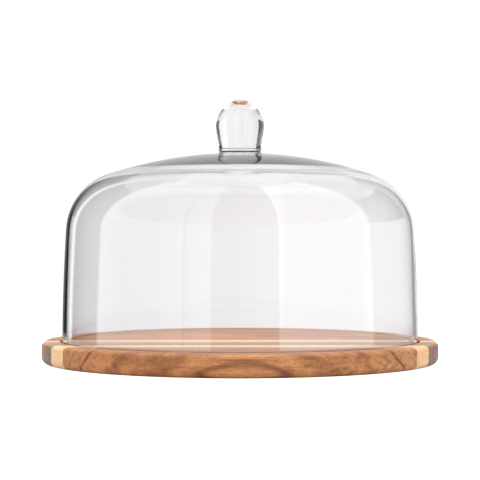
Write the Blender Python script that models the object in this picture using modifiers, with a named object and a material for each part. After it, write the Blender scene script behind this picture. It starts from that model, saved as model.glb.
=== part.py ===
"""A cheese dome: a clear glass cloche with a solid glass knob, on a round grooved wooden board.

The board is glued up from eight acacia staves, each its own piece, cut by the same turned outline.
The cloche is one turned glass shell, and the knob is a solid glass piece fused to its crown.
Metres, +Z up. The origin is the middle of the board's underside, and the staves run along X.
Run with: blender --background --python part.py
"""

import math

import bpy

# ---- Cloche: the sizes that the rest is built around --------------------------------------------
DOME_RADIUS = 0.1480  # outside, at the rim
DOME_HEIGHT = 0.1600  # rim to the top of the crown
WALL_BOW_RADIUS = 1.600  # the wall leans in along this arc, upright at the rim
SHOULDER_ARC_RADIUS = 0.051
CROWN_ARC_RADIUS = 0.348
RIM_WALL = 0.0036  # glass at the rim
SHOULDER_WALL = 0.0029  # glass at the shoulder, the thinnest
CROWN_WALL = 0.0085  # glass under the knob, where the gather was thickest
THICK_CROWN_RADIUS = 0.095  # where the crown's extra glass has run out

# ---- Knob ---------------------------------------------------------------------------------------
KNOB_RADIUS = 0.0203  # the head, at its widest
KNOB_CAP_RISE = 0.0224  # widest place to the top
KNOB_CAP_POWER = 1.85  # 2 is an ellipse; less is more pointed
KNOB_TAPER_DROP = 0.0192  # widest place down to the neck
KNOB_TAPER_POWER = 1.25  # how the head runs down to the neck
NECK_RADIUS = 0.0175
COLLAR_RADIUS = 0.0007  # the small bead round the neck
COLLAR_STEP = 0.0004  # bare neck between bead and foot
FOOT_FLARE = 0.0018  # radius of the hollow curve between neck and crown
FLARE_TURN = 65  # degrees of that curve, which ends in a thin upright edge
FUSE_GAP = 0.0003  # between knob and crown, which are one piece of glass once fused

# ---- Board --------------------------------------------------------------------------------------
BOARD_THICKNESS = 0.0180
LAND_WIDTH = 0.0155  # flat rim outside the groove, to the edge of the board
TOP_EDGE_ROUND = 0.0040
BOTTOM_EDGE_ROUND = 0.0055
GROOVE_DEPTH = 0.0040
GROOVE_LIP_ROUND = 0.0008
GROOVE_FLOOR_ROUND = 0.0010
RIM_CLEARANCE = 0.0015  # groove wall to glass, on each side
SEAT_GAP = 0.0003  # groove floor to glass

# ---- Staves -------------------------------------------------------------------------------------
GLUE_LINE = 0.0001  # between neighbouring staves
FRONT_JOINT = -0.0903  # the first glued joint, in front of the middle
INNER_STAVES = (  # front to back, each with its own width
    ("wide_sapwood_stave", 0.0208, "sapwood"),
    ("striped_heartwood_stave", 0.0415, "striped_heartwood"),
    ("narrow_sapwood_stave", 0.0150, "sapwood"),
    ("centre_heartwood_stave", 0.0303, "heartwood"),
    ("inner_rear_stave", 0.0467, "heartwood"),
    ("outer_rear_stave", 0.0454, "heartwood"),
)

# ---- Facets -------------------------------------------------------------------------------------
TURN_STEPS = 80  # round the board and the cloche
KNOB_STEPS = 32
EDGE_STEPS = 4  # in the quarter round of an edge
SMALL_STEPS = 2  # in the quarter round of a groove lip or corner
RIM_STEPS = 6  # in the half round of the cloche's rim
WALL_STEPS = 3
SHOULDER_STEPS = 7
CROWN_STEPS = 4
CAP_STEPS = 8
TAPER_STEPS = 5
MERGE_WITHIN = 0.00001  # points this close become one
SHARP_ANGLE = math.radians(35)

# ---- What follows from them ---------------------------------------------------------------------
BOARD_RADIUS = DOME_RADIUS + RIM_CLEARANCE + LAND_WIDTH
RIM_Z = BOARD_THICKNESS - GROOVE_DEPTH + SEAT_GAP
CROWN_Z = RIM_Z + DOME_HEIGHT
FOOT_RADIUS = NECK_RADIUS + FOOT_FLARE

COLOURS = {  # base colour, roughness, transmission
    "heartwood": ((0.36, 0.17, 0.08), 0.45, 0.0),
    "striped_heartwood": ((0.22, 0.13, 0.08), 0.45, 0.0),
    "sapwood": ((0.87, 0.60, 0.33), 0.45, 0.0),
    "clear_glass": ((1.0, 1.0, 1.0), 0.0, 1.0),
}


def clear_scene():
    """Removes whatever the file opened with."""
    for obj in list(bpy.data.objects):
        bpy.data.objects.remove(obj)


def material(name):
    """The Principled material of that name, made the first time it is asked for."""
    found = bpy.data.materials.get(name)
    if found:
        return found
    colour, roughness, transmission = COLOURS[name]
    made = bpy.data.materials.new(name)
    made.use_nodes = True
    shader = made.node_tree.nodes["Principled BSDF"]
    shader.inputs["Base Color"].default_value = (*colour, 1.0)
    shader.inputs["Roughness"].default_value = roughness
    shader.inputs["Metallic"].default_value = 0.0
    shader.inputs["Transmission Weight"].default_value = transmission
    return made


def arc(centre, radius, start, end, steps):
    """Points of an arc in the (r, z) plane, from angle start to end in degrees."""
    angles = [math.radians(start + (end - start) * i / steps) for i in range(steps + 1)]
    return [(centre[0] + radius * math.cos(a), centre[1] + radius * math.sin(a)) for a in angles]


def turned(name, outline, steps, collection):
    """A solid of revolution: the outline, from axis to axis down its outer side, turned about Z."""
    mesh = bpy.data.meshes.new(name)
    mesh.from_pydata([(r, 0, z) for r, z in outline], [(i, i + 1) for i in range(len(outline) - 1)], [])
    obj = bpy.data.objects.new(name, mesh)
    collection.objects.link(obj)
    screw = obj.modifiers.new("turn", "SCREW")
    screw.steps = screw.render_steps = steps
    screw.use_merge_vertices = True
    screw.merge_threshold = MERGE_WITHIN
    return obj


def settle(obj, finish):
    """Gives an object the mesh that its modifiers make, shaded smooth between its sharp edges."""
    bpy.context.view_layer.update()
    evaluated = obj.evaluated_get(bpy.context.evaluated_depsgraph_get())
    mesh = bpy.data.meshes.new_from_object(evaluated)
    obj.modifiers.clear()
    obj.data = mesh
    mesh.name = obj.name
    mesh.materials.clear()
    mesh.materials.append(material(finish))
    mesh.shade_smooth()
    mesh.set_sharp_from_angle(angle=SHARP_ANGLE)
    return obj


def board_outline():
    """The board from the middle of its top to the middle of its underside, round groove and edges."""
    top = BOARD_THICKNESS
    floor = top - GROOVE_DEPTH
    inner = DOME_RADIUS - RIM_WALL - RIM_CLEARANCE
    outer = DOME_RADIUS + RIM_CLEARANCE
    lip, corner = GROOVE_LIP_ROUND, GROOVE_FLOOR_ROUND
    points = [(0, top)]
    points += arc((inner - lip, top - lip), lip, 90, 0, SMALL_STEPS)
    points += arc((inner + corner, floor + corner), corner, 180, 270, SMALL_STEPS)
    points += arc((outer - corner, floor + corner), corner, 270, 360, SMALL_STEPS)
    points += arc((outer + lip, top - lip), lip, 180, 90, SMALL_STEPS)
    edge = TOP_EDGE_ROUND
    points += arc((BOARD_RADIUS - edge, top - edge), edge, 90, 0, EDGE_STEPS)
    edge = BOTTOM_EDGE_ROUND
    points += arc((BOARD_RADIUS - edge, edge), edge, 0, -90, EDGE_STEPS)
    points.append((0, 0))
    return points


def stave_places():
    """(name, front edge, back edge, finish) of every stave, the outer two running past the board."""
    past = 2 * BOARD_RADIUS
    edge = FRONT_JOINT
    places = [("front_stave", -past, edge, "heartwood")]
    for name, width, finish in INNER_STAVES:
        places.append((name, edge, edge + width, finish))
        edge += width
    places.append(("back_stave", edge, past, "heartwood"))
    return places


def make_staves(parts, cutters):
    """Cuts the turned board into its staves, each between two glued joints."""
    outline = board_outline()
    for name, front, back, finish in stave_places():
        middle = (0, (front + back) / 2, BOARD_THICKNESS / 2)
        bpy.ops.mesh.primitive_cube_add(size=1, location=middle)
        slab = bpy.context.object
        slab.name = name + "_slab"
        slab.scale = (3 * BOARD_RADIUS, back - front - GLUE_LINE, 3 * BOARD_THICKNESS)
        slab.hide_render = True
        slab.display_type = "WIRE"
        for holder in slab.users_collection:
            holder.objects.unlink(slab)
        cutters.objects.link(slab)
        stave = turned(name, outline, TURN_STEPS, parts)
        cut = stave.modifiers.new("between_joints", "BOOLEAN")
        cut.operation = "INTERSECT"
        cut.object = slab
        settle(stave, finish)


def circles_meet(first, first_radius, second, second_radius):
    """The upper place where two circles in the (r, z) plane cross."""
    dr, dz = second[0] - first[0], second[1] - first[1]
    apart = math.hypot(dr, dz)
    along = (apart**2 + first_radius**2 - second_radius**2) / (2 * apart)
    across = math.sqrt(first_radius**2 - along**2)
    meets = []
    for side in (-1, 1):
        r = first[0] + (along * dr - side * across * dz) / apart
        z = first[1] + (along * dz + side * across * dr) / apart
        meets.append((r, z))
    return max(meets)


def angle_from(centre, point):
    """Direction of a point from a centre, in degrees."""
    return math.degrees(math.atan2(point[1] - centre[1], point[0] - centre[0]))


def dome_outside():
    """The outside of the cloche, crown to rim, as (r, z, degrees that its normal leans up from level).

    It is three arcs, each running smoothly into the next: crown, shoulder and wall.
    """
    crown = (0, CROWN_Z - CROWN_ARC_RADIUS)
    wall = (DOME_RADIUS - WALL_BOW_RADIUS, RIM_Z)
    shoulder = circles_meet(
        crown, CROWN_ARC_RADIUS - SHOULDER_ARC_RADIUS, wall, WALL_BOW_RADIUS - SHOULDER_ARC_RADIUS
    )
    seat = math.degrees(math.acos(FOOT_RADIUS / CROWN_ARC_RADIUS))
    upper = angle_from(crown, shoulder)
    lower = angle_from(wall, shoulder)
    rim = math.degrees(RIM_WALL / 2 / WALL_BOW_RADIUS)
    runs = (
        (crown, CROWN_ARC_RADIUS, seat, upper, CROWN_STEPS),
        (shoulder, SHOULDER_ARC_RADIUS, upper, lower, SHOULDER_STEPS),
        (wall, WALL_BOW_RADIUS, lower, rim, WALL_STEPS),
    )
    points = []
    for centre, radius, start, end, steps in runs:
        leans = [start + (end - start) * i / steps for i in range(steps + 1)]
        stretch = [(*point, lean) for point, lean in zip(arc(centre, radius, start, end, steps), leans)]
        points += stretch[1:] if points else stretch
    return points


def glass_at(r, z, shoulder_z):
    """Thickness of the glass: most at the middle of the crown, least at the shoulder, more at the rim."""
    if z < shoulder_z:
        return RIM_WALL + (SHOULDER_WALL - RIM_WALL) * (z - RIM_Z) / (shoulder_z - RIM_Z)
    bell = max(0.0, 1 - (r / THICK_CROWN_RADIUS) ** 2) ** 1.5
    return SHOULDER_WALL + (CROWN_WALL - SHOULDER_WALL) * bell


def dome_outline():
    """The cloche from the knob's seat down its outside, round the rim, and up its inside."""
    outside = dome_outside()
    shoulder_z = outside[-1 - WALL_STEPS][1]
    seat_z = outside[0][1]
    inside = []
    for r, z, lean in outside:
        thick = glass_at(r, z, shoulder_z)
        inside.append((r - thick * math.cos(math.radians(lean)), z - thick * math.sin(math.radians(lean))))
    bead = RIM_WALL / 2
    rim = arc((DOME_RADIUS - bead, RIM_Z + bead), bead, 0, -180, RIM_STEPS)
    middle = (0, inside[0][1])
    points = [(0, seat_z)] + [(r, z) for r, z, _ in outside] + rim[1:-1] + inside[::-1] + [middle]
    return points, seat_z


def knob_outline(seat_z):
    """The knob from its top down its outside to its foot, which stands on the crown."""
    foot_z = seat_z + FUSE_GAP
    collar_z = foot_z + FOOT_FLARE + COLLAR_STEP + COLLAR_RADIUS
    widest_z = collar_z + COLLAR_RADIUS + KNOB_TAPER_DROP
    share = 2 / KNOB_CAP_POWER
    turns = [math.pi / 2 * i / CAP_STEPS for i in range(CAP_STEPS)]
    rise, waist = KNOB_CAP_RISE, KNOB_RADIUS - NECK_RADIUS
    cap = [(KNOB_RADIUS * math.sin(t) ** share, widest_z + rise * math.cos(t) ** share) for t in turns]
    steps = [i / TAPER_STEPS for i in range(TAPER_STEPS)]
    taper = [(KNOB_RADIUS - waist * s**KNOB_TAPER_POWER, widest_z - KNOB_TAPER_DROP * s) for s in steps]
    collar = arc((NECK_RADIUS, collar_z), COLLAR_RADIUS, 90, -90, EDGE_STEPS)
    flare = arc((FOOT_RADIUS, foot_z + FOOT_FLARE), FOOT_FLARE, 180, 180 + FLARE_TURN, EDGE_STEPS)
    return cap + taper + collar + flare + [(flare[-1][0], foot_z), (0, foot_z)]


def main():
    """Builds every piece in its place."""
    clear_scene()
    parts = bpy.data.collections.new("cheese_dome")
    cutters = bpy.data.collections.new("cutters")
    for collection in (parts, cutters):
        bpy.context.scene.collection.children.link(collection)
    make_staves(parts, cutters)
    dome, seat_z = dome_outline()
    settle(turned("glass_dome", dome, TURN_STEPS, parts), "clear_glass")
    settle(turned("glass_knob", knob_outline(seat_z), KNOB_STEPS, parts), "clear_glass")


main()
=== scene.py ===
"""A cheese dome, dressed: a blown clear glass cloche with a solid knob, on a grooved board of oiled acacia.

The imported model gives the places, and every size below is in metres unless its name says otherwise.
"""

import logging
import math
from dataclasses import dataclass, field
from enum import Enum
from functools import partial
from typing import Any

import bmesh
import bpy
import numpy as np
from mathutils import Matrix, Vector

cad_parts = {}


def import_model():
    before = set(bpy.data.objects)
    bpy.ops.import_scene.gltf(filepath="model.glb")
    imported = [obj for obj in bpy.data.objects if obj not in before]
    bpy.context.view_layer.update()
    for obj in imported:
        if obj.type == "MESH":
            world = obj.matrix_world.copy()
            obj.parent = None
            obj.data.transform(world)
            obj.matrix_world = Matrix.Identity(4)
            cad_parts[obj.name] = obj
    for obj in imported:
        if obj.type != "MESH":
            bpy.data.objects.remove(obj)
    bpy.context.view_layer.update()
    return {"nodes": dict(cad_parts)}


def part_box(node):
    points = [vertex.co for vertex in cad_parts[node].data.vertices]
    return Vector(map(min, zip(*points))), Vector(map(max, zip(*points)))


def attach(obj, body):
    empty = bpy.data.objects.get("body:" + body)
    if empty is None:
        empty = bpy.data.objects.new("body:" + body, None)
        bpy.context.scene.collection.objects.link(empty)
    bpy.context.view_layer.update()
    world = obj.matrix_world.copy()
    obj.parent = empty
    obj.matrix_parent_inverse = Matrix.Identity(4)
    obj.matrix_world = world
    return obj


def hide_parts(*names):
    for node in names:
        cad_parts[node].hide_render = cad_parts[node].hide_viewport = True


frame: dict[str, Any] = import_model()

LOG = logging.getLogger("cheese_dome")
MM = 0.001
SHARP_DEGREES = 38.0  # a bend past this keeps a crisp edge
DOME_HEIGHT = 0.1600  # from the rim to the top of the crown, which the knob's foot covers

Value = Any  # a socket to link, or a plain number, vector or colour
MATH, VECTOR, RANGE, MIX = "ShaderNodeMath", "ShaderNodeVectorMath", "ShaderNodeMapRange", "ShaderNodeMix"
SMOOTH = {"interpolation_type": "SMOOTHSTEP"}


# ---- Small helpers ------------------------------------------------------------------------------


def linear(sheet_colour: str) -> tuple[float, float, float, float]:
    """Turns an sRGB hex colour into the linear colour that the shaders take.

    Args:
        sheet_colour: six hex digits after a hash.

    Returns:
        Red, green, blue and an alpha of one.
    """
    shares = [int(sheet_colour[i : i + 2], 16) / 255 for i in (1, 3, 5)]
    red, green, blue = (s / 12.92 if s <= 0.04045 else ((s + 0.055) / 1.055) ** 2.4 for s in shares)
    return (red, green, blue, 1.0)


def node(
    tree: bpy.types.NodeTree,
    kind: str,
    inputs: dict[Any, Value] | tuple[Value, ...] = (),
    out: int | str = 0,
    **settings: Any,
) -> Value:
    """Adds a node to a tree, with its settings and whatever feeds it.

    Args:
        tree: the tree that it joins.
        kind: Blender's name of the node type.
        inputs: the sockets that are linked in or the values that are set, in the order of the node's own
            inputs, or by their names or numbers.
        out: name or number of the output that is wanted.
        settings: the node's own properties.

    Returns:
        That output, or nothing for a node that has none.
    """
    made = tree.nodes.new(kind)
    for key, value in settings.items():
        setattr(made, key, value)
    for key, value in inputs.items() if isinstance(inputs, dict) else enumerate(inputs):
        if isinstance(value, bpy.types.NodeSocket):
            tree.links.new(value, made.inputs[key])
        else:
            made.inputs[key].default_value = value
    return made.outputs[out] if made.outputs else None


def new_material(name: str) -> tuple[bpy.types.Material, bpy.types.NodeTree]:
    """A material of that name with an empty tree, and the tree."""
    made = bpy.data.materials.new(name)
    made.use_nodes = True
    made.node_tree.nodes.clear()
    return made, made.node_tree


def arc(centre: tuple[float, float], radius: float, start: float, end: float, steps: int) -> np.ndarray:
    """Points of an arc in the (r, z) plane.

    Each is the centre plus the radius along its own direction, and the directions are evenly spread.

    Args:
        centre: (r, z) of the middle of the circle.
        radius: of the circle.
        start: first direction in degrees, from level outwards, turning upwards.
        end: last direction in degrees.
        steps: how many pieces the arc is cut into.

    Returns:
        (steps + 1, 2) array of r and z.
    """
    turn = np.radians(np.linspace(start, end, steps + 1))
    return np.column_stack([centre[0] + radius * np.cos(turn), centre[1] + radius * np.sin(turn)])


def turned_mesh(name: str, outline: np.ndarray, turns: int) -> bpy.types.Mesh:
    """Turns an outline about the Z axis into one closed surface.

    A vertex at outline point i and turn j is (r cos a, r sin a, z), where a is j turns of the circle.
    The first and the last point of the outline lie on the axis, and each becomes one pole with a fan
    of triangles. Every other pair of neighbouring rings is joined by a band of quads.

    Args:
        name: of the mesh.
        outline: (n, 2) array of r and z, from the pole above down the outside to the pole below.
        turns: how many faces go round.

    Returns:
        The mesh, with its faces outwards and its shading smooth between sharp edges.
    """
    angle = np.linspace(0, 2 * np.pi, turns, endpoint=False)
    rings = outline[1:-1]
    r, z = rings[:, :1], rings[:, 1:]
    grid = np.stack([r * np.cos(angle), r * np.sin(angle), z + 0 * angle], axis=-1).reshape(-1, 3)
    points = np.vstack([[0, 0, outline[0, 1]], grid, [0, 0, outline[-1, 1]]])
    place = 1 + np.arange(len(rings) * turns).reshape(len(rings), turns)
    after = np.roll(place, -1, axis=1)
    quads = np.stack([place[:-1], place[1:], after[1:], after[:-1]], axis=-1).reshape(-1, 4)
    top = np.column_stack([np.zeros(turns, int), place[0], after[0]])
    bottom = np.column_stack([np.full(turns, len(points) - 1), after[-1], place[-1]])
    mesh = bpy.data.meshes.new(name)
    mesh.from_pydata(points.tolist(), [], [*quads.tolist(), *top.tolist(), *bottom.tolist()])
    return mesh


def shown(name: str, mesh: bpy.types.Mesh, finish: bpy.types.Material) -> bpy.types.Object:
    """Puts a mesh in the scene as a piece with one finish, shaded smooth between its sharp edges.

    Args:
        name: of the piece.
        mesh: its surface, in place.
        finish: its material.

    Returns:
        The new object, at the origin.
    """
    mesh.name = name
    mesh.materials.append(finish)
    mesh.shade_smooth()
    mesh.set_sharp_from_angle(angle=math.radians(SHARP_DEGREES))
    piece = bpy.data.objects.new(name, mesh)
    bpy.context.scene.collection.objects.link(piece)
    return piece


# ---- Finishes -----------------------------------------------------------------------------------


class Timber(Enum):
    """The three colours of acacia in the board: pale tone, body tone, dark late wood and open pore; the open
    pore tone also paints the shade in the groove.
    """

    HEARTWOOD = ("#E8A468", "#BC7844", "#703A1E", "#472513")
    STRIPED_HEARTWOOD = ("#E2B694", "#C08C68", "#54301E", "#33231A")
    SAPWOOD = ("#FFDCB0", "#FBC894", "#E0A468", "#C89460")


@dataclass(frozen=True)
class OiledAcacia:
    """Acacia, planed, turned, sanded fine and wiped with oil.

    To the eye it is warm gold to brown, in uneven growth rings with darker late wood, crossed by fine
    fibre and short open pores that run with the grain, under a soft satin gloss. The figure is solid:
    it is read from where a point lies in the tree, so faces, edges and end grain agree.

    Attributes:
        name: of the material.
        timber: which of the colours of acacia.
        pith: (y, z) in millimetres of the middle of the tree, from the board's own origin.
        lean: degrees that the tree's axis climbs, and swings sideways, along the stave.
        ring_mm: width of a year's growth.
        contrast: how dark the late wood gets, from 0 to 1.
        bands: (radius, half width, depth) in millimetres and share, of the odd darker years, or of
            paler ones where the share is below zero.
        seed: moves the noise, so that no two staves match.
        thirst: how much darker the end grain is, where it drank more oil, from 0 to 1.
    """

    name: str
    timber: Timber
    pith: tuple[float, float]
    lean: tuple[float, float] = (1.5, 0.5)
    ring_mm: float = 5.0
    contrast: float = 0.5
    bands: tuple[tuple[float, float, float], ...] = ()
    seed: float = 0.0
    thirst: float = 0.0

    # Length along the grain and width across it, in millimetres.
    DRIFT_MM = (400.0, 30.0)
    STREAK_MM = (260.0, 3.2)
    FIBRE_MM = (9.0, 0.55)
    PORE_MM = (2.4, 0.45)  # real ones are 0.2 mm wide, and are drawn wider so that they show
    WANDER_OVER_MM = (170.0, 34.0)
    WANDER_MM = 6.0  # how far a ring strays from its circle

    # Each is the range that a value comes from and then, if it isn't 0 to 1, the range that it goes to.
    # The value is a noise or a part of a year, and what it goes to is the share of the tone laid over.
    PALE_DRIFT = (0.32, 0.68, 0.0, 0.75)
    LATE_COMES = (0.25, 0.90)
    LATE_GOES = (0.93, 1.0, 1.0, 0.0)
    YEAR_STRENGTH = (0.0, 1.0, 0.15, 1.0)
    DARK_STREAK = (0.50, 0.72, 0.0, 0.55)
    PALE_STREAK = (0.48, 0.28, 0.0, 0.45)
    DARK_FIBRE = (0.40, 0.66, 0.0, 0.34)
    PORES = (0.62, 0.72)
    END_GRAIN = (0.5, 0.95)  # from how squarely the grain meets the surface
    ROUGHNESS = (0.3, 1.2, 0.40, 0.56)  # from fibre and pores together to roughness

    PORE_SHARE = 0.55
    RELIEF_MM = 0.12  # the deepest pore
    FIBRE_RELIEF = 0.35  # how high the fibre stands, as a share of that
    GROOVE_MM = (142.9, 149.5)  # radii of the groove's walls
    GROOVE_SHADE_EDGE_MM = (1.0, 0.3)  # how far the painted shade of the groove runs out past a wall, and in from it
    GROOVE_SHADE_LEVEL_MM = (15.5, 18.0)  # heights where that painted shade is whole, and where it ends
    # how strongly the groove is darkened: painted shade, the pore tone laid over the recess
    GROOVE_SHADE_SHARE = 0.75

    def noise(
        self, tree: bpy.types.NodeTree, place: Value, size_mm: tuple[float, float], detail: float
    ) -> Value:
        """Noise drawn out along the grain.

        Args:
            tree: the material's tree.
            place: position in the tree, with the grain along X.
            size_mm: length and width of one feature.
            detail: octaves of finer noise.

        Returns:
            The socket of a value about one half.
        """
        long, wide = (1 / (MM * size) for size in size_mm)
        shift = (self.seed, self.seed * 1.7, self.seed * 0.6)
        moved = {"Vector": place, "Location": shift, "Scale": (long, wide, wide)}
        drawn = node(tree, "ShaderNodeMapping", moved)
        return node(tree, "ShaderNodeTexNoise", {"Vector": drawn, "Scale": 1.0, "Detail": detail}, "Fac")

    def rings(self, tree: bpy.types.NodeTree, in_tree: Value) -> tuple[Value, Value]:
        """Growth rings: the distance from the tree's axis, which wanders a little, counted in years.

        Each year darkens slowly to its late wood and pales at once, and each has a strength of its own.

        Args:
            tree: the material's tree.
            in_tree: position in the tree, with its axis along X.

        Returns:
            The sockets of the distance in metres and of the share of late wood.
        """
        add = partial(node, tree)
        across = add(VECTOR, (in_tree, (0, 1, 1)), operation="MULTIPLY")
        straight = add(VECTOR, (across,), "Value", operation="LENGTH")
        wander = self.noise(tree, in_tree, self.WANDER_OVER_MM, detail=2.0)
        stray = add(MATH, (wander, 0.5), operation="SUBTRACT")
        reach = add(MATH, (stray, self.WANDER_MM * MM, straight), operation="MULTIPLY_ADD")
        year = add(MATH, (reach, self.ring_mm * MM), operation="DIVIDE")
        season = add(MATH, (year,), operation="FRACT")
        comes = add(RANGE, (season, *self.LATE_COMES), **SMOOTH)
        goes = add(RANGE, (season, *self.LATE_GOES), **SMOOTH)
        whole = add(MATH, (year,), operation="FLOOR")
        drawn = add(MATH, (whole, self.seed), operation="ADD")
        chance = add("ShaderNodeTexWhiteNoise", {"W": drawn}, "Value", noise_dimensions="1D")
        strength = add(RANGE, (chance, *self.YEAR_STRENGTH), **SMOOTH)
        late = add(MATH, (comes, goes), operation="MULTIPLY")
        return reach, add(MATH, (late, strength), operation="MULTIPLY")

    def groove_shade_mask(self, tree: bpy.types.NodeTree, spot: Value) -> Value:
        """How far a point is inside the groove, which sets where the painted shade goes.

        Args:
            tree: the material's tree.
            spot: position on the board.

        Returns:
            The socket of a share, one on the groove's floor and none on the board's face.
        """
        add = partial(node, tree)
        level = add(VECTOR, (spot, (1, 1, 0)), operation="MULTIPLY")
        radius = add(VECTOR, (level,), "Value", operation="LENGTH")
        inner, outer = (wall * MM for wall in self.GROOVE_MM)
        past, short = (edge * MM for edge in self.GROOVE_SHADE_EDGE_MM)
        beyond_inner = add(RANGE, (radius, inner - past, inner + short), **SMOOTH)
        beyond_outer = add(RANGE, (radius, outer - short, outer + past), **SMOOTH)
        between = add(MATH, (beyond_inner, beyond_outer), operation="SUBTRACT")
        whole, none = (height * MM for height in self.GROOVE_SHADE_LEVEL_MM)
        height = add("ShaderNodeSeparateXYZ", (spot,), "Z")
        low = add(RANGE, (height, whole, none, 1.0, 0.0), **SMOOTH)
        return add(MATH, (between, low), operation="MULTIPLY")

    def material(self) -> bpy.types.Material:
        """Builds the finish, one tone laid over another.

        Returns:
            The material.
        """
        made, tree = new_material(self.name)
        add = partial(node, tree)
        pale, body, dark, pore_and_groove_shade = (linear(tone) for tone in self.timber.value)
        spot = add("ShaderNodeTexCoord", out="Object")
        climb, swing = (math.radians(turn) for turn in self.lean)
        pith = (0, self.pith[0] * MM, self.pith[1] * MM)
        from_pith = {"Vector": spot, "Location": pith, "Rotation": (0, -climb, swing)}
        in_tree = add("ShaderNodeMapping", from_pith, vector_type="TEXTURE")
        reach, late = self.rings(tree, in_tree)
        drift = self.noise(tree, in_tree, self.DRIFT_MM, detail=3.0)
        streak = self.noise(tree, in_tree, self.STREAK_MM, detail=3.0)
        fibre = self.noise(tree, in_tree, self.FIBRE_MM, detail=2.0)
        speckle = self.noise(tree, in_tree, self.PORE_MM, detail=1.0)
        pores = add(RANGE, (speckle, *self.PORES), **SMOOTH)
        grain_way = add("ShaderNodeSeparateXYZ", (add("ShaderNodeTexCoord", out="Normal"),), "X")
        squarely = add(MATH, (grain_way,), operation="ABSOLUTE")
        end_grain = add(RANGE, (squarely, *self.END_GRAIN), **SMOOTH)

        layers = [
            (add(RANGE, (drift, *self.PALE_DRIFT), **SMOOTH), pale),
            (add(MATH, (late, self.contrast), operation="MULTIPLY"), dark),
        ]
        for radius, half, depth in self.bands:
            off = add(MATH, (reach, radius * MM), operation="SUBTRACT")
            away = add(MATH, (off,), operation="ABSOLUTE")
            share = add(RANGE, (away, 0.0, half * MM, abs(depth), 0.0), **SMOOTH)
            layers.append((share, dark if depth > 0 else pale))
        layers += [
            (add(RANGE, (streak, *self.DARK_STREAK), **SMOOTH), dark),
            (add(RANGE, (streak, *self.PALE_STREAK), **SMOOTH), pale),
            (add(RANGE, (fibre, *self.DARK_FIBRE), **SMOOTH), dark),
            (add(MATH, (pores, self.PORE_SHARE), operation="MULTIPLY"), pore_and_groove_shade),
            # Painted shade: the groove and its walls are darkened with the pore tone, where the recess lies
            # in shade.
            (add(MATH, (self.groove_shade_mask(tree, spot), self.GROOVE_SHADE_SHARE), operation="MULTIPLY"), pore_and_groove_shade),
            (add(MATH, (end_grain, self.thirst), operation="MULTIPLY"), dark),
        ]
        colour: Value = body
        for share, tone in layers:
            colour = add(MIX, {"Factor": share, 6: colour, 7: tone}, 2, data_type="RGBA")

        raised = add(MATH, (fibre, self.FIBRE_RELIEF), operation="MULTIPLY")
        height = add(MATH, (raised, pores), operation="SUBTRACT")
        relief = {"Height": height, "Distance": self.RELIEF_MM * MM, "Strength": 0.5}
        rough = add(MATH, (fibre, pores), operation="ADD")
        shader = add("ShaderNodeBsdfPrincipled", {
            "Base Color": colour,
            "Roughness": add(RANGE, (rough, *self.ROUGHNESS), **SMOOTH),
            "Normal": add("ShaderNodeBump", relief),
            "IOR": 1.47,
        })
        add("ShaderNodeOutputMaterial", {"Surface": shader})
        return made


@dataclass(frozen=True)
class BlownGlass:
    """Soda-lime glass, mouth blown and turned in a mould, fire polished at its rim.

    To the eye it is colourless and wholly clear, with sharp reflections that drift a little where the
    wall was drawn uneven.

    Attributes:
        name: of the material.
        tint: what is left of white light at each surface.
        ior: index of refraction.
        wave_mm: size of the slow unevenness of its surface.
        wave_height_mm: height of that unevenness.
    """

    name: str = "blown_soda_lime_glass"
    tint: str = "#FEFEFF"
    ior: float = 1.52
    wave_mm: float = 55.0
    wave_height_mm: float = 0.35

    def material(self) -> bpy.types.Material:
        """Builds the finish.

        Returns:
            The material.
        """
        made, tree = new_material(self.name)
        add = partial(node, tree)
        spot = add("ShaderNodeTexCoord", out="Object")
        slow = {"Vector": spot, "Scale": 1 / (self.wave_mm * MM), "Detail": 1.0}
        wave = add("ShaderNodeTexNoise", slow, "Fac")
        relief = {"Height": wave, "Distance": self.wave_height_mm * MM, "Strength": 0.5}
        shader = add("ShaderNodeBsdfPrincipled", {
            "Base Color": linear(self.tint), "Roughness": 0.0, "IOR": self.ior, "Transmission Weight": 1.0,
            "Normal": add("ShaderNodeBump", relief),
        })
        add("ShaderNodeOutputMaterial", {"Surface": shader})
        return made


# ---- The board ----------------------------------------------------------------------------------


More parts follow.
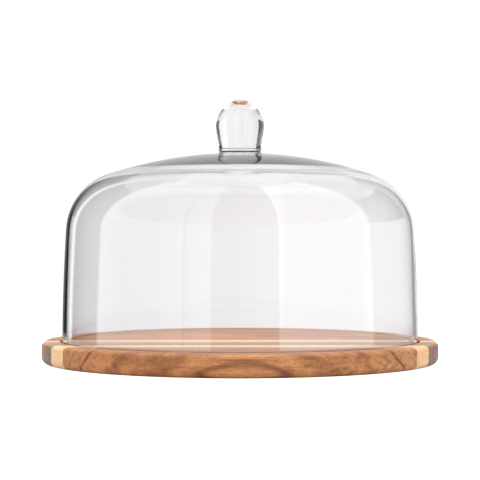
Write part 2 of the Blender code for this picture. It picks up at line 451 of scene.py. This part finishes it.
@dataclass
class Board:
    """The round board, glued up from staves and turned with a groove that the cloche stands in.

    Attributes:
        radius: of the board.
        thickness: of the board.
        dome_radius: of the cloche at its rim, which the groove takes.
        rim_wall: thickness of the glass there.
        top_edge: radius of the round along the top edge.
        bottom_edge: radius of the round along the bottom edge.
        groove_depth: from the board's face.
        lip_round: radius of the groove's two lips.
        corner_round: radius of the groove's two inner corners.
        clearance: play on each side of the glass.
        face_steps: rings of faces across the middle of the board.
        turns: faces round the board.
        staves: finish of each stave, by its CAD node.
    """

    radius: float
    thickness: float
    dome_radius: float
    rim_wall: float
    top_edge: float = 0.0040
    bottom_edge: float = 0.0055
    groove_depth: float = 0.0040
    lip_round: float = 0.0008
    corner_round: float = 0.0010
    clearance: float = 0.0015
    face_steps: int = 12
    turns: int = 720
    staves: dict[str, OiledAcacia] = field(default_factory=dict)

    def outline(self) -> np.ndarray:
        """The section of the board.

        Straight runs between quarter rounds: across the top, down into the groove, along its floor, up
        to the land, over the top edge, down the side, under the bottom edge and back to the axis.

        Returns:
            (n, 2) array of r and z from the middle of the top to the middle of the underside.
        """
        top, floor = self.thickness, self.thickness - self.groove_depth
        inner = self.dome_radius - self.rim_wall - self.clearance
        outer = self.dome_radius + self.clearance
        lip, corner, upper, lower = self.lip_round, self.corner_round, self.top_edge, self.bottom_edge
        face = np.linspace(0, inner - lip, self.face_steps, endpoint=False)
        return np.vstack([
            np.column_stack([face, np.full(self.face_steps, top)]),
            arc((inner - lip, top - lip), lip, 90, 0, steps=6),
            arc((inner + corner, floor + corner), corner, 180, 270, steps=6),
            arc((outer - corner, floor + corner), corner, 270, 360, steps=6),
            arc((outer + lip, top - lip), lip, 180, 90, steps=6),
            arc((self.radius - upper, top - upper), upper, 90, 0, steps=12),
            arc((self.radius - lower, lower), lower, 0, -90, steps=14),
            [(0, 0)],
        ])

    def cut(self, whole: bpy.types.Mesh, front: float, back: float) -> bpy.types.Mesh:
        """The part of the turned board between two upright planes, closed where it was cut.

        Args:
            whole: the turned board.
            front: Y of the nearer joint.
            back: Y of the farther joint.

        Returns:
            A new closed mesh.
        """
        work = bmesh.new()
        work.from_mesh(whole)
        for place, way in ((front, -1), (back, 1)):
            if abs(place) > self.radius - 0.001 * MM:
                continue  # the board's own edge, with nothing beyond it to cut off
            everything = [*work.verts, *work.edges, *work.faces]
            bmesh.ops.bisect_plane(
                work, geom=everything, plane_co=(0, place, 0), plane_no=(0, way, 0), clear_outer=True
            )
            rims = [edge for edge in work.edges if edge.is_boundary]
            caps = bmesh.ops.holes_fill(work, edges=rims, sides=0)["faces"]
            bmesh.ops.triangulate(work, faces=caps)
        bmesh.ops.recalc_face_normals(work, faces=work.faces)
        mesh = bpy.data.meshes.new("stave")
        work.to_mesh(mesh)
        work.free()
        return mesh

    def build(self) -> None:
        """Cuts and dresses every stave in the place that its CAD node has."""
        whole = turned_mesh("board_blank", self.outline(), self.turns)
        for name, finish in self.staves.items():
            low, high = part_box(name)
            mesh = self.cut(whole, low.y, high.y)
            piece = shown(f"{name}_wood", mesh, finish.material())
            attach(piece, "board")
            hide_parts(name)
            LOG.info("%s: %d faces, %.1f mm wide", piece.name, len(mesh.polygons), (high.y - low.y) / MM)
        bpy.data.meshes.remove(whole)


# ---- The cloche ---------------------------------------------------------------------------------


@dataclass
class Cloche:
    """The glass: a dome of three tangent arcs with a knob fused to its crown, one surface all through.

    Attributes:
        radius: of the dome at its rim.
        rim_z: height of the rim.
        crown_z: height of the top of the crown.
        knob_foot_z: height of the knob's foot.
        knob_top_z: height of the knob's top.
        finish: its glass.
        wall_bow: radius of the wall's arc.
        shoulder_arc: radius of the shoulder's arc.
        crown_arc: radius of the crown's arc.
        rim_wall: thickness at the rim.
        shoulder_wall: thickness at the shoulder.
        crown_wall: thickness in the middle of the crown.
        thick_crown: radius within which the crown grows thicker.
        knob_radius: of the knob at its widest.
        cap_rise: from there up to its top.
        cap_power: of the cap's superellipse.
        taper_drop: from the widest place down to the bead.
        taper_power: of the taper.
        neck_radius: of the knob under its taper.
        bead_radius: of the bead under the taper.
        foot_flare: radius of the hollow round at the foot.
        flare_turn: degrees that it turns through.
        ripple: height of the rings that the shaping tool left under the crown.
        ripple_pitch: from one of those rings to the next.
        turns: faces round the cloche.
    """

    radius: float
    rim_z: float
    crown_z: float
    knob_foot_z: float
    knob_top_z: float
    finish: BlownGlass
    wall_bow: float = 1.600
    shoulder_arc: float = 0.051
    crown_arc: float = 0.348
    rim_wall: float = 0.0036
    shoulder_wall: float = 0.0029
    crown_wall: float = 0.0085
    thick_crown: float = 0.095
    knob_radius: float = 0.0203
    cap_rise: float = 0.0224
    cap_power: float = 1.85
    taper_drop: float = 0.0192
    taper_power: float = 1.25
    neck_radius: float = 0.0175
    bead_radius: float = 0.0007
    foot_flare: float = 0.0018
    flare_turn: float = 65.0
    ripple: float = 0.00002
    ripple_pitch: float = 0.023
    turns: int = 300

    def outside(self) -> tuple[np.ndarray, float]:
        """The outside of the dome, from the knob's foot to the rim.

        Three arcs, each tangent to the next. The shoulder's centre is where a circle about the crown's
        centre, smaller by the shoulder's radius, crosses one about the wall's centre, smaller likewise.

        Returns:
            (n, 3) array of r, z and the degrees that the normal leans up, and z where the wall begins.
        """
        crown = np.array([0.0, self.crown_z - self.crown_arc])
        wall = np.array([self.radius - self.wall_bow, self.rim_z])
        near, far = self.crown_arc - self.shoulder_arc, self.wall_bow - self.shoulder_arc
        apart = float(np.hypot(*(wall - crown)))
        along = (apart**2 + near**2 - far**2) / (2 * apart)
        up = math.sqrt(near**2 - along**2)
        direction = (wall - crown) / apart
        square = np.array([direction[1], -direction[0]])
        meets = [crown + along * direction + side * up * square for side in (1, -1)]
        shoulder = max(meets, key=lambda place: place[0])
        lean = [math.degrees(math.atan2(*(shoulder - centre)[::-1])) for centre in (crown, wall)]
        foot = math.degrees(math.acos((self.neck_radius + self.foot_flare) / self.crown_arc))
        low = math.degrees(self.rim_wall / 2 / self.wall_bow)
        runs = (  # centre, radius, first and last direction, and how many pieces each is cut into
            (crown, self.crown_arc, foot, lean[0], 44),
            (shoulder, self.shoulder_arc, lean[0], lean[1], 40),
            (wall, self.wall_bow, lean[1], low, 26),
        )
        stretches = []
        for centre, radius, start, end, steps in runs:
            points = arc(tuple(centre), radius, start, end, steps)
            leaning = np.column_stack([points, np.linspace(start, end, steps + 1)])
            stretches.append(leaning[1:] if stretches else leaning)
        return np.vstack(stretches), float(stretches[1][-1, 1])

    def glass_at(self, r: np.ndarray, z: np.ndarray, wall_top: float) -> np.ndarray:
        """Thickness of the glass.

        Up the wall it falls in a straight line from rim to shoulder. Over the crown it grows by a bell,
        one minus the square of r over the thick crown's radius, to the power one and a half, and carries
        faint rings, a sine of r over their pitch that dies away with the bell's own square root.

        Args:
            r: distances from the axis.
            z: heights.
            wall_top: height where the wall ends.

        Returns:
            The thickness at each point.
        """
        up = (z - self.rim_z) / (wall_top - self.rim_z)
        wall = self.rim_wall + (self.shoulder_wall - self.rim_wall) * up
        bell = np.clip(1 - (r / self.thick_crown) ** 2, 0, 1) ** 1.5
        rings = self.ripple * np.sin(2 * np.pi * r / self.ripple_pitch) * np.cbrt(bell)
        crown = self.shoulder_wall + (self.crown_wall - self.shoulder_wall) * bell + rings
        return np.where(z < wall_top, wall, crown)

    def knob(self) -> np.ndarray:
        """The outside of the knob, top to foot.

        The cap is a superellipse and the taper below it a power law. Under them come a small bead and
        a hollow quarter that runs out onto the crown.

        Returns:
            (n, 2) array of r and z.
        """
        widest = self.knob_top_z - self.cap_rise
        share = 2 / self.cap_power
        turn = np.linspace(0, np.pi / 2, num=48, endpoint=False)
        cap_r = self.knob_radius * np.sin(turn) ** share
        cap_z = widest + self.cap_rise * np.cos(turn) ** share
        down = np.linspace(0, 1, num=30, endpoint=False)
        waist = self.knob_radius - self.neck_radius
        taper_r = self.knob_radius - waist * down**self.taper_power
        taper_z = widest - self.taper_drop * down
        bead = (self.neck_radius, widest - self.taper_drop - self.bead_radius)
        flare = (self.neck_radius + self.foot_flare, self.knob_foot_z + self.foot_flare)
        return np.vstack([
            np.column_stack([cap_r, cap_z]),
            np.column_stack([taper_r, taper_z]),
            arc(bead, self.bead_radius, 90, -90, steps=12),
            arc(flare, self.foot_flare, 180, 180 + self.flare_turn, steps=10),
        ])

    def outline(self) -> np.ndarray:
        """The section of the whole cloche.

        Down the knob and the outside, half round the rim, then up the inside, which is the outside moved
        in along its normal by the thickness of the glass, to the middle of the crown's underside.

        Returns:
            (n, 2) array of r and z, closed on the axis at both ends.
        """
        skin, wall_top = self.outside()
        r, z, lean = skin.T
        outward = np.column_stack([np.cos(np.radians(lean)), np.sin(np.radians(lean))])
        inside = (skin[:, :2] - self.glass_at(r, z, wall_top)[:, None] * outward)[::-1]
        half = self.rim_wall / 2
        rim = arc((self.radius - half, self.rim_z + half), half, 0, -180, steps=18)[1:-1]
        return np.vstack([self.knob(), skin[:, :2], rim, inside, [(0, inside[-1, 1])]])

    def build(self) -> None:
        """Makes the glass as one piece, standing for the dome and the knob."""
        mesh = turned_mesh("cloche", self.outline(), self.turns)
        piece = shown("blown_cloche", mesh, self.finish.material())
        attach(piece, "cloche")
        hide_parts("glass_dome", "glass_knob")
        LOG.info("%s: %d faces", piece.name, len(mesh.polygons))


# ---- The studio ---------------------------------------------------------------------------------


@dataclass(frozen=True)
class Wall:
    """A stretch of the tent's cloth, or of what shows through an opening in it.

    Attributes:
        start: degrees round from straight behind the object, to the right, where it begins.
        end: degrees where it ends.
        light: how bright it is at its start, where 1 is white.
        light_end: how bright it is at its end, if that differs.
        soft: degrees over which it fades at each end.
        foot: degrees up from the middle of the object where it begins.
        top: degrees up where it ends.
    """

    start: float
    end: float
    light: float
    light_end: float | None = None
    soft: float = 0.4
    foot: float = -90.0
    top: float = 84.0


@dataclass
class Studio:
    """A white table in a small light tent with dark openings, and the camera before it.

    Attributes:
        eye: where the camera stands.
        lens_mm: its focal length.
        sensor_mm: width of its sensor.
        table_radius: of the table top.
        table_thickness: of the table top.
        table_drop: how far it lies below the board, so that the two don't share a plane.
        table_glow: its brightness to the camera: the sheet is overexposed, so no shadow shows.
        table_grains: in a metre of the laminate.
        table_grain_height: of one of them.
        tent_radius: of the tent.
        tent_middle: height of its middle.
        ceiling: how bright the cloth is above the walls.
        fade: degrees over which a wall fades at its foot and its top.
        soft_light: what the tent sheds on matt surfaces, from its sides and from its top.
        soft_top: degrees up where that is whole.
        seen_through: darkest and brightest cloth behind the walls of the cloche.
        knob_sees_from: degrees up, above which the cloth is bent into view by the knob only.
        knob_window: degrees round, outside which the knob shows the dark openings.
        knob_dark: how bright those are.
        background: how bright the room behind it all is.
        walls: of the tent, each laid over the ones before.
    """

    eye: tuple[float, float, float] = (0.0, -1.287, 0.1016)
    lens_mm: float = 115.2
    sensor_mm: float = 36.0
    table_radius: float = 0.36
    table_thickness: float = 0.02
    table_drop: float = 0.0002
    table_glow: float = 1.0
    table_grains: float = 1500.0
    table_grain_height: float = 0.00002
    tent_radius: float = 0.38
    tent_middle: float = 0.10
    ceiling: float = 1.0
    fade: float = 1.0
    soft_light: tuple[float, float] = (0.80, 3.6)
    soft_top: float = 80.0
    seen_through: tuple[float, float] = (0.80, 0.97)
    knob_sees_from: float = 4.0
    knob_window: tuple[float, float] = (-38.0, 50.0)
    knob_dark: float = 0.04
    background: float = 1.1
    walls: tuple[Wall, ...] = (
        # The cloth all round, then what stands behind the glass, paler to the right.
        Wall(-181, 181, 0.6, top=68),
        Wall(-41, 103, 0.96),
        Wall(-41, -3, 0.80),
        Wall(-20, 8, 0.81, 0.96),
        Wall(7, 23, 0.89, 0.88, soft=1.0),
        # Openings to the right.
        Wall(75, 104, 0.82),
        Wall(45, 75, 0.25, 0.82, top=44),
        Wall(60, 102, 0.04, foot=10, top=34, soft=2.0),
        # Openings to the left, with a strip of light between them.
        Wall(-97, -37, 0.02, top=44),
        Wall(-45, -37, 0.15, top=44),
        Wall(-59.5, -54, 0.40, top=10),
        Wall(-65.2, -59.5, 1.2),
        # Three lit panels beside the camera to the left, and one to the right.
        Wall(-135, -95.9, 1.45, 1.75, top=68),
        Wall(-151, -135, 1.55, 1.45, top=68),
        Wall(-165.6, -151.8, 1.50, 1.35, top=68),
        Wall(103.9, 160.5, 2.0, top=68),
    )

    def camera(self) -> None:
        """Stands the camera level in front of the object."""
        data = bpy.data.cameras.new("camera")
        data.lens, data.sensor_width = self.lens_mm, self.sensor_mm
        data.clip_start, data.clip_end = 0.01, 100.0
        made = bpy.data.objects.new("camera", data)
        made.location = self.eye
        made.rotation_euler = (math.pi / 2, 0, 0)
        bpy.context.scene.collection.objects.link(made)
        bpy.context.scene.camera = made

    def laminate(self) -> bpy.types.Material:
        """White laminate, pressed with a fine grain: to the eye an even, dull white.

        Returns:
            The material.
        """
        made, tree = new_material("white_laminate")
        add = partial(node, tree)
        spot = add("ShaderNodeTexCoord", out="Object")
        grain = add("ShaderNodeTexNoise", {"Vector": spot, "Scale": self.table_grains, "Detail": 2.0}, "Fac")
        relief = {"Height": grain, "Distance": self.table_grain_height, "Strength": 0.3}
        seen = add("ShaderNodeLightPath", out="Is Camera Ray")
        shader = add("ShaderNodeBsdfPrincipled", {
            "Base Color": linear("#D8D8D8"), "Roughness": 0.6, "Specular IOR Level": 0.2,
            "Normal": add("ShaderNodeBump", relief),
            "Emission Color": linear("#FFFFFF"),
            "Emission Strength": add(MATH, (seen, self.table_glow), operation="MULTIPLY"),
        })
        add("ShaderNodeOutputMaterial", {"Surface": shader})
        return made

    def table(self) -> None:
        """Lays the table top, a flat disc turned from its own section."""
        r = np.linspace(0, self.table_radius, num=6)
        top, under = -self.table_drop, -self.table_drop - self.table_thickness
        outline = np.vstack([np.column_stack([r, 0 * r + top]), [(self.table_radius, under), (0, under)]])
        shown("table_top", turned_mesh("table_top", outline, turns=96), self.laminate())

    def cloth(self, tree: bpy.types.NodeTree, round_by: Value, up_by: Value) -> Value:
        """The light of the tent's own cloth, wall over wall.

        A wall's share is one between its start and its end and between its foot and its top, and falls
        smoothly to none at each of them. Its light runs in a straight line from its start to its end.

        Args:
            tree: the material's tree.
            round_by: degrees round.
            up_by: degrees up.

        Returns:
            The socket of the light.
        """
        add = partial(node, tree)
        light: Value = self.ceiling
        for wall in self.walls:
            limits = (
                (round_by, wall.start, wall.soft), (round_by, wall.end, wall.soft),
                (up_by, wall.foot, self.fade), (up_by, wall.top, self.fade),
            )
            ramps = ((way, limit - soft, limit + soft) for way, limit, soft in limits)
            start, end, foot, top = (add(RANGE, ramp, **SMOOTH) for ramp in ramps)
            across = add(MATH, (start, end), operation="SUBTRACT")
            along = add(MATH, (foot, top), operation="SUBTRACT")
            share = add(MATH, (across, along), operation="MULTIPLY")
            far = wall.light if wall.light_end is None else wall.light_end
            own = add(RANGE, (round_by, wall.start, wall.end, wall.light, far))
            light = add(MIX, {"Factor": share, 2: light, 3: own}, data_type="FLOAT")
        return light

    def shed(self, tree: bpy.types.NodeTree, light: Value, round_by: Value, up_by: Value) -> Value:
        """The light that the cloth sends down each kind of path.

        Through the walls of the cloche it is held between two limits. Bent by the solid knob, which is the
        one piece that shows high cloth through two surfaces, it is dark outside the knob's window. Onto
        matt wood, and into its sheen, the whole tent sheds an even light that grows towards its top.

        Args:
            tree: the material's tree.
            light: the light of the cloth itself.
            round_by: degrees round.
            up_by: degrees up.

        Returns:
            The socket of the light.
        """
        add = partial(node, tree)
        path = add("ShaderNodeLightPath").node.outputs
        darkest, brightest = self.seen_through
        capped = add(MATH, (light, brightest), operation="MINIMUM")
        held = add(MATH, (capped, darkest), operation="MAXIMUM")
        # A path through one wall of glass crosses two surfaces, and one through both walls crosses four.
        # Depths are whole numbers, so each limit lies half way between two of them.
        four = add(MATH, (path["Transmission Depth"], 3.5), operation="GREATER_THAN")
        two = add(MATH, (path["Transmission Depth"], 1.5), operation="GREATER_THAN")
        unreflected = add(MATH, (path["Glossy Depth"], 0.5), operation="LESS_THAN")
        straight = add(MATH, (two, unreflected), operation="MULTIPLY")
        low = add(MATH, (up_by, self.knob_sees_from), operation="LESS_THAN")
        one_wall = add(MATH, (straight, low), operation="MULTIPLY")
        through = add(MATH, (four, one_wall), operation="MAXIMUM")

        left, right = self.knob_window
        past_left = add(MATH, (round_by, left), operation="LESS_THAN")
        past_right = add(MATH, (round_by, right), operation="GREATER_THAN")
        outside = add(MATH, (past_left, past_right), operation="MAXIMUM")
        not_knob = add(MATH, (four, low), operation="MAXIMUM")
        knob = add(MATH, (1.0, not_knob), operation="SUBTRACT")
        by_knob = add(MATH, (straight, knob), operation="MULTIPLY")
        beside_knob = add(MATH, (by_knob, outside), operation="MULTIPLY")

        scattered = add(MATH, (path["Diffuse Depth"], 0.5), operation="GREATER_THAN")
        sheen = add(MATH, (path["Is Glossy Ray"], path["Is Singular Ray"]), operation="SUBTRACT")
        matt = add(MATH, (scattered, sheen), operation="MAXIMUM")
        even = add(RANGE, (up_by, 0.0, self.soft_top, *self.soft_light), **SMOOTH)
        for share, other in ((through, held), (beside_knob, self.knob_dark), (matt, even)):
            light = add(MIX, {"Factor": share, 2: light, 3: other}, data_type="FLOAT")
        return light

    def tent(self) -> None:
        """Hangs the light tent, a sphere whose cloth glows by how far round and how high it is.

        The camera looks straight through it, and only what the object mirrors and bends comes from it.
        """
        made, tree = new_material("lit_tent_cloth")
        add = partial(node, tree)
        spot = add("ShaderNodeTexCoord", out="Object")
        from_middle = add(VECTOR, (spot, (0, 0, self.tent_middle)), operation="SUBTRACT")
        way = add(VECTOR, (from_middle,), operation="NORMALIZE")
        x, y, z = add("ShaderNodeSeparateXYZ", (way,)).node.outputs
        turn = add(MATH, (x, y), operation="ARCTAN2")
        rise = add(MATH, (z,), operation="ARCSINE")
        round_by = add(MATH, (turn,), operation="DEGREES")
        up_by = add(MATH, (rise,), operation="DEGREES")
        light = self.shed(tree, self.cloth(tree, round_by, up_by), round_by, up_by)
        glow = add("ShaderNodeEmission", {"Color": linear("#FFFFFF"), "Strength": light})
        add("ShaderNodeOutputMaterial", {"Surface": glow})
        outline = arc((0, self.tent_middle), self.tent_radius, 90, -90, steps=48)
        cloth = shown("light_tent", turned_mesh("light_tent", outline, turns=96), made)
        cloth.visible_camera = False

    def world(self) -> None:
        """Gives the room behind it all a plain white."""
        made = bpy.data.worlds.new("studio")
        made.use_nodes = True
        tree = made.node_tree
        tree.nodes.clear()
        plain = node(tree, "ShaderNodeBackground", {"Color": linear("#FFFFFF"), "Strength": self.background})
        node(tree, "ShaderNodeOutputWorld", {"Surface": plain})
        bpy.context.scene.world = made

    def build(self) -> None:
        """Sets up the table, the light and the camera."""
        self.camera()
        self.table()
        self.tent()
        self.world()
        bpy.context.scene.view_settings.view_transform = "Standard"
        LOG.info("studio: %d walls", len(self.walls))


# ---- What this board and this cloche are made of -------------------------------------------------

HEART, STRIPED, SAP = Timber.HEARTWOOD, Timber.STRIPED_HEARTWOOD, Timber.SAPWOOD
STRIPES = tuple((60.0 + 4.4 * line, 1.3, 0.95) for line in range(12))  # close dark years in the striped stave
FIGURE = (  # an arch over a pale tongue in the middle of the rim, and a dark line near each end
    (142.0, 5.5, -0.95), (136.4, 1.7, 0.68), (132.0, 2.2, -0.45), (127.0, 7.0, 0.4),
    (121.3, 3.0, 0.3), (110.7, 4.5, 0.5), (92.3, 1.8, 0.9),
)
STAVES: dict[str, OiledAcacia] = {
    "front_stave": OiledAcacia(
        "oiled_acacia_front", HEART, pith=(-40, 66), lean=(0.3, 0.4), ring_mm=5.5, contrast=0.18,
        bands=FIGURE, seed=3.1, thirst=0.1,
    ),
    "wide_sapwood_stave": OiledAcacia(
        "oiled_acacia_wide_sapwood", SAP, pith=(-30, -70), lean=(2.0, 1.0), ring_mm=4.0, contrast=0.35,
        seed=7.7,
    ),
    "striped_heartwood_stave": OiledAcacia(
        "oiled_acacia_striped", STRIPED, pith=(-160, 5), lean=(0.2, 0.3), ring_mm=4.6, contrast=0.3,
        bands=STRIPES, seed=1.9, thirst=0.6,
    ),
    "narrow_sapwood_stave": OiledAcacia(
        "oiled_acacia_narrow_sapwood", SAP, pith=(30, 80), lean=(1.4, -0.6), ring_mm=4.4, contrast=0.35,
        seed=5.3,
    ),
    "centre_heartwood_stave": OiledAcacia(
        "oiled_acacia_centre", HEART, pith=(10, -55), lean=(2.6, 0.8), ring_mm=4.6, contrast=0.5,
        seed=9.2,
    ),
    "inner_rear_stave": OiledAcacia(
        "oiled_acacia_inner_rear", HEART, pith=(45, 75), lean=(-2.2, 1.2), ring_mm=5.2, contrast=0.55,
        seed=4.4,
    ),
    "outer_rear_stave": OiledAcacia(
        "oiled_acacia_outer_rear", HEART, pith=(80, -48), lean=(1.8, -1.0), ring_mm=4.8, contrast=0.5,
        seed=6.6,
    ),
    "back_stave": OiledAcacia(
        "oiled_acacia_back", HEART, pith=(60, 60), lean=(1.2, 0.5), ring_mm=5.0, contrast=0.55,
        seed=2.5,
    ),
}


def main() -> None:
    """Builds the board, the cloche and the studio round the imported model."""
    logging.basicConfig(level=logging.INFO, format="%(name)s: %(message)s")
    board_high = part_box("centre_heartwood_stave")[1]
    dome_low, dome_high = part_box("glass_dome")
    knob_low, knob_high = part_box("glass_knob")
    cloche = Cloche(
        radius=dome_high.x, rim_z=dome_low.z, crown_z=dome_low.z + DOME_HEIGHT,
        knob_foot_z=knob_low.z, knob_top_z=knob_high.z, finish=BlownGlass(),
    )
    board = Board(
        radius=board_high.x, thickness=board_high.z, dome_radius=dome_high.x, rim_wall=cloche.rim_wall,
        staves=STAVES,
    )
    board.build()
    cloche.build()
    Studio().build()


if __name__ == "__main__":
    main()
